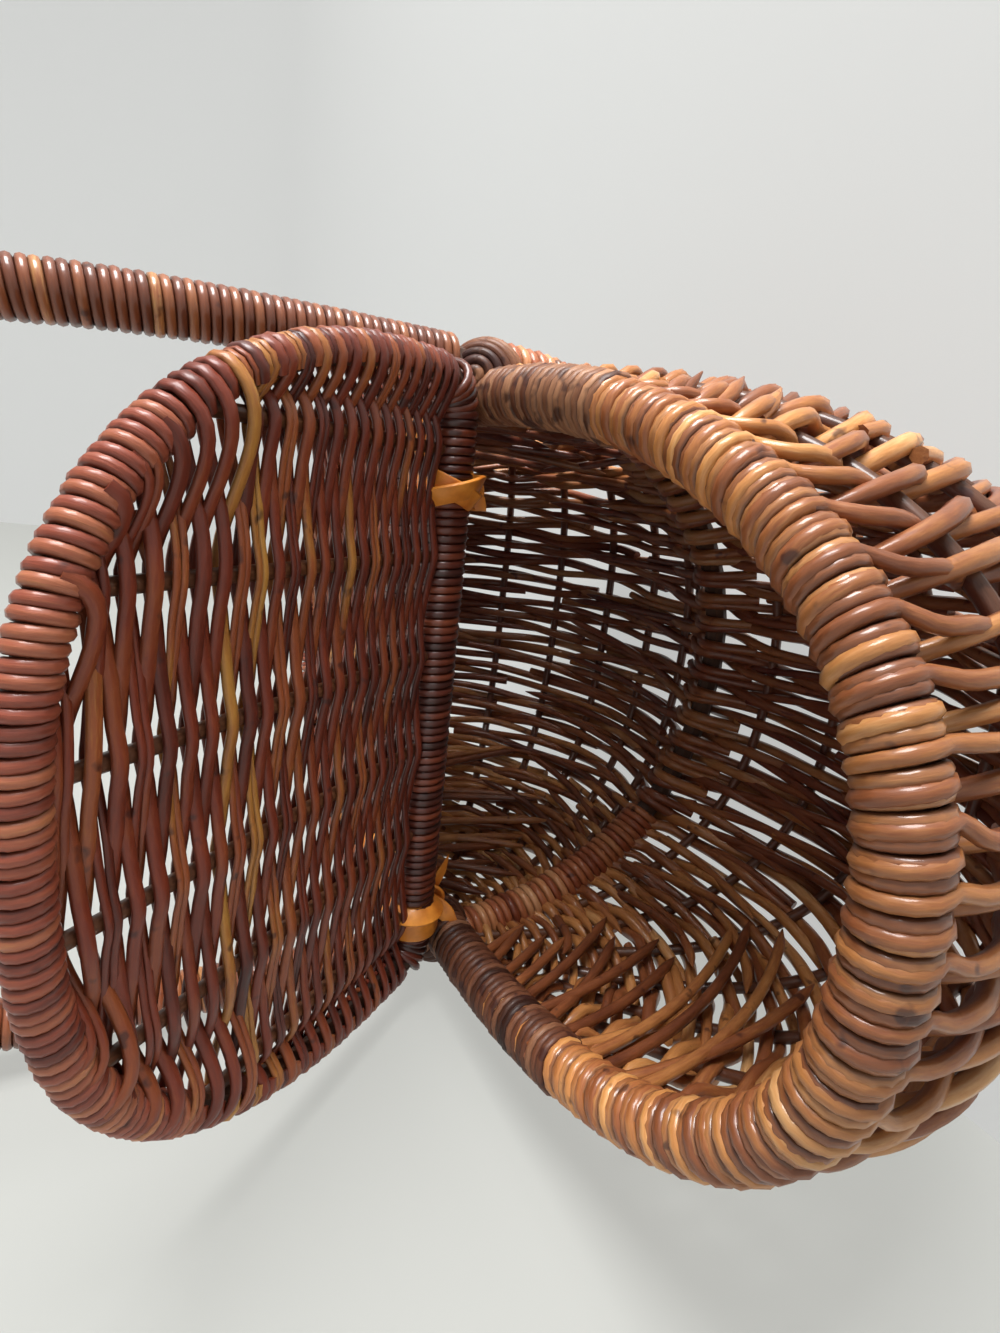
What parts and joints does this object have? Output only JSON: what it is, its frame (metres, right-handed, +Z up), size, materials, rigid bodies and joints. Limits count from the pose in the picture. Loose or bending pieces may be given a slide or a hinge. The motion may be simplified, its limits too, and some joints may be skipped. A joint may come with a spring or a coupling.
{
  "type": "lidded gathering basket",
  "caption": "Oval willow rib basket with a hoop handle, two rounded lobes and two woven half lids that swing up on a crossbar, tied to it by leather laces.",
  "frame": {"origin": "under the middle of the basket, on the surface it stands on", "axes": "+Z up through the handle, X along the crossbar, the open front lid on -Y"},
  "size_m": [0.1904, 0.287, 0.3104],
  "materials": {
    "willow_body": "varnished willow, satin",
    "willow_handle": "varnished wrapped cane, gloss",
    "willow_rib": "varnished willow rod, satin",
    "willow_lid": "stained and varnished willow, gloss",
    "willow_bar": "stained wrapped cane, gloss",
    "lace_leather": "vegetable-tanned lace, satin"
  },
  "bodies": {
    "basket": {"rim_hoop": "willow_rib", "handle_hoop": "willow_rib", "handle_binding": "willow_handle", "crossbar": "willow_bar", "right_ear_lashing": "willow_handle", "left_ear_lashing": "willow_handle", "front_wall": "willow_body", "front_rib_1": "willow_rib", "front_rib_2": "willow_rib", "front_rib_3": "willow_rib", "front_rib_4": "willow_rib", "front_rib_5": "willow_rib", "front_rib_6": "willow_rib", "front_rib_7": "willow_rib", "back_wall": "willow_body", "back_rib_1": "willow_rib", "back_rib_2": "willow_rib", "back_rib_3": "willow_rib", "back_rib_4": "willow_rib", "back_rib_5": "willow_rib", "back_rib_6": "willow_rib", "back_rib_7": "willow_rib", "front_lace_right": "lace_leather", "front_lace_left": "lace_leather", "back_lace_right": "lace_leather", "back_lace_left": "lace_leather"},
    "front_lid": {"front_lid_frame": "willow_bar", "front_lid_binding": "willow_bar", "front_lid_weave": "willow_lid", "front_lid_rib_1": "willow_rib", "front_lid_rib_2": "willow_rib", "front_lid_rib_3": "willow_rib", "front_lid_rib_4": "willow_rib", "front_lid_rib_5": "willow_rib", "front_lid_rib_6": "willow_rib"},
    "back_lid": {"back_lid_frame": "willow_bar", "back_lid_binding": "willow_bar", "back_lid_weave": "willow_lid", "back_lid_rib_1": "willow_rib", "back_lid_rib_2": "willow_rib", "back_lid_rib_3": "willow_rib", "back_lid_rib_4": "willow_rib", "back_lid_rib_5": "willow_rib", "back_lid_rib_6": "willow_rib"}
  },
  "joints": [
    {"name": "front_lid_hinge", "type": "hinge", "parent": "basket", "child": "front_lid", "pos_m": [0, -0.0125, 0.12802], "axis": [-1, 0, 0], "range_deg": [-53.5, 34.5]},
    {"name": "back_lid_hinge", "type": "hinge", "parent": "basket", "child": "back_lid", "pos_m": [0, 0.0125, 0.12802], "axis": [1, 0, 0], "range_deg": [0, 88]}
  ]
}
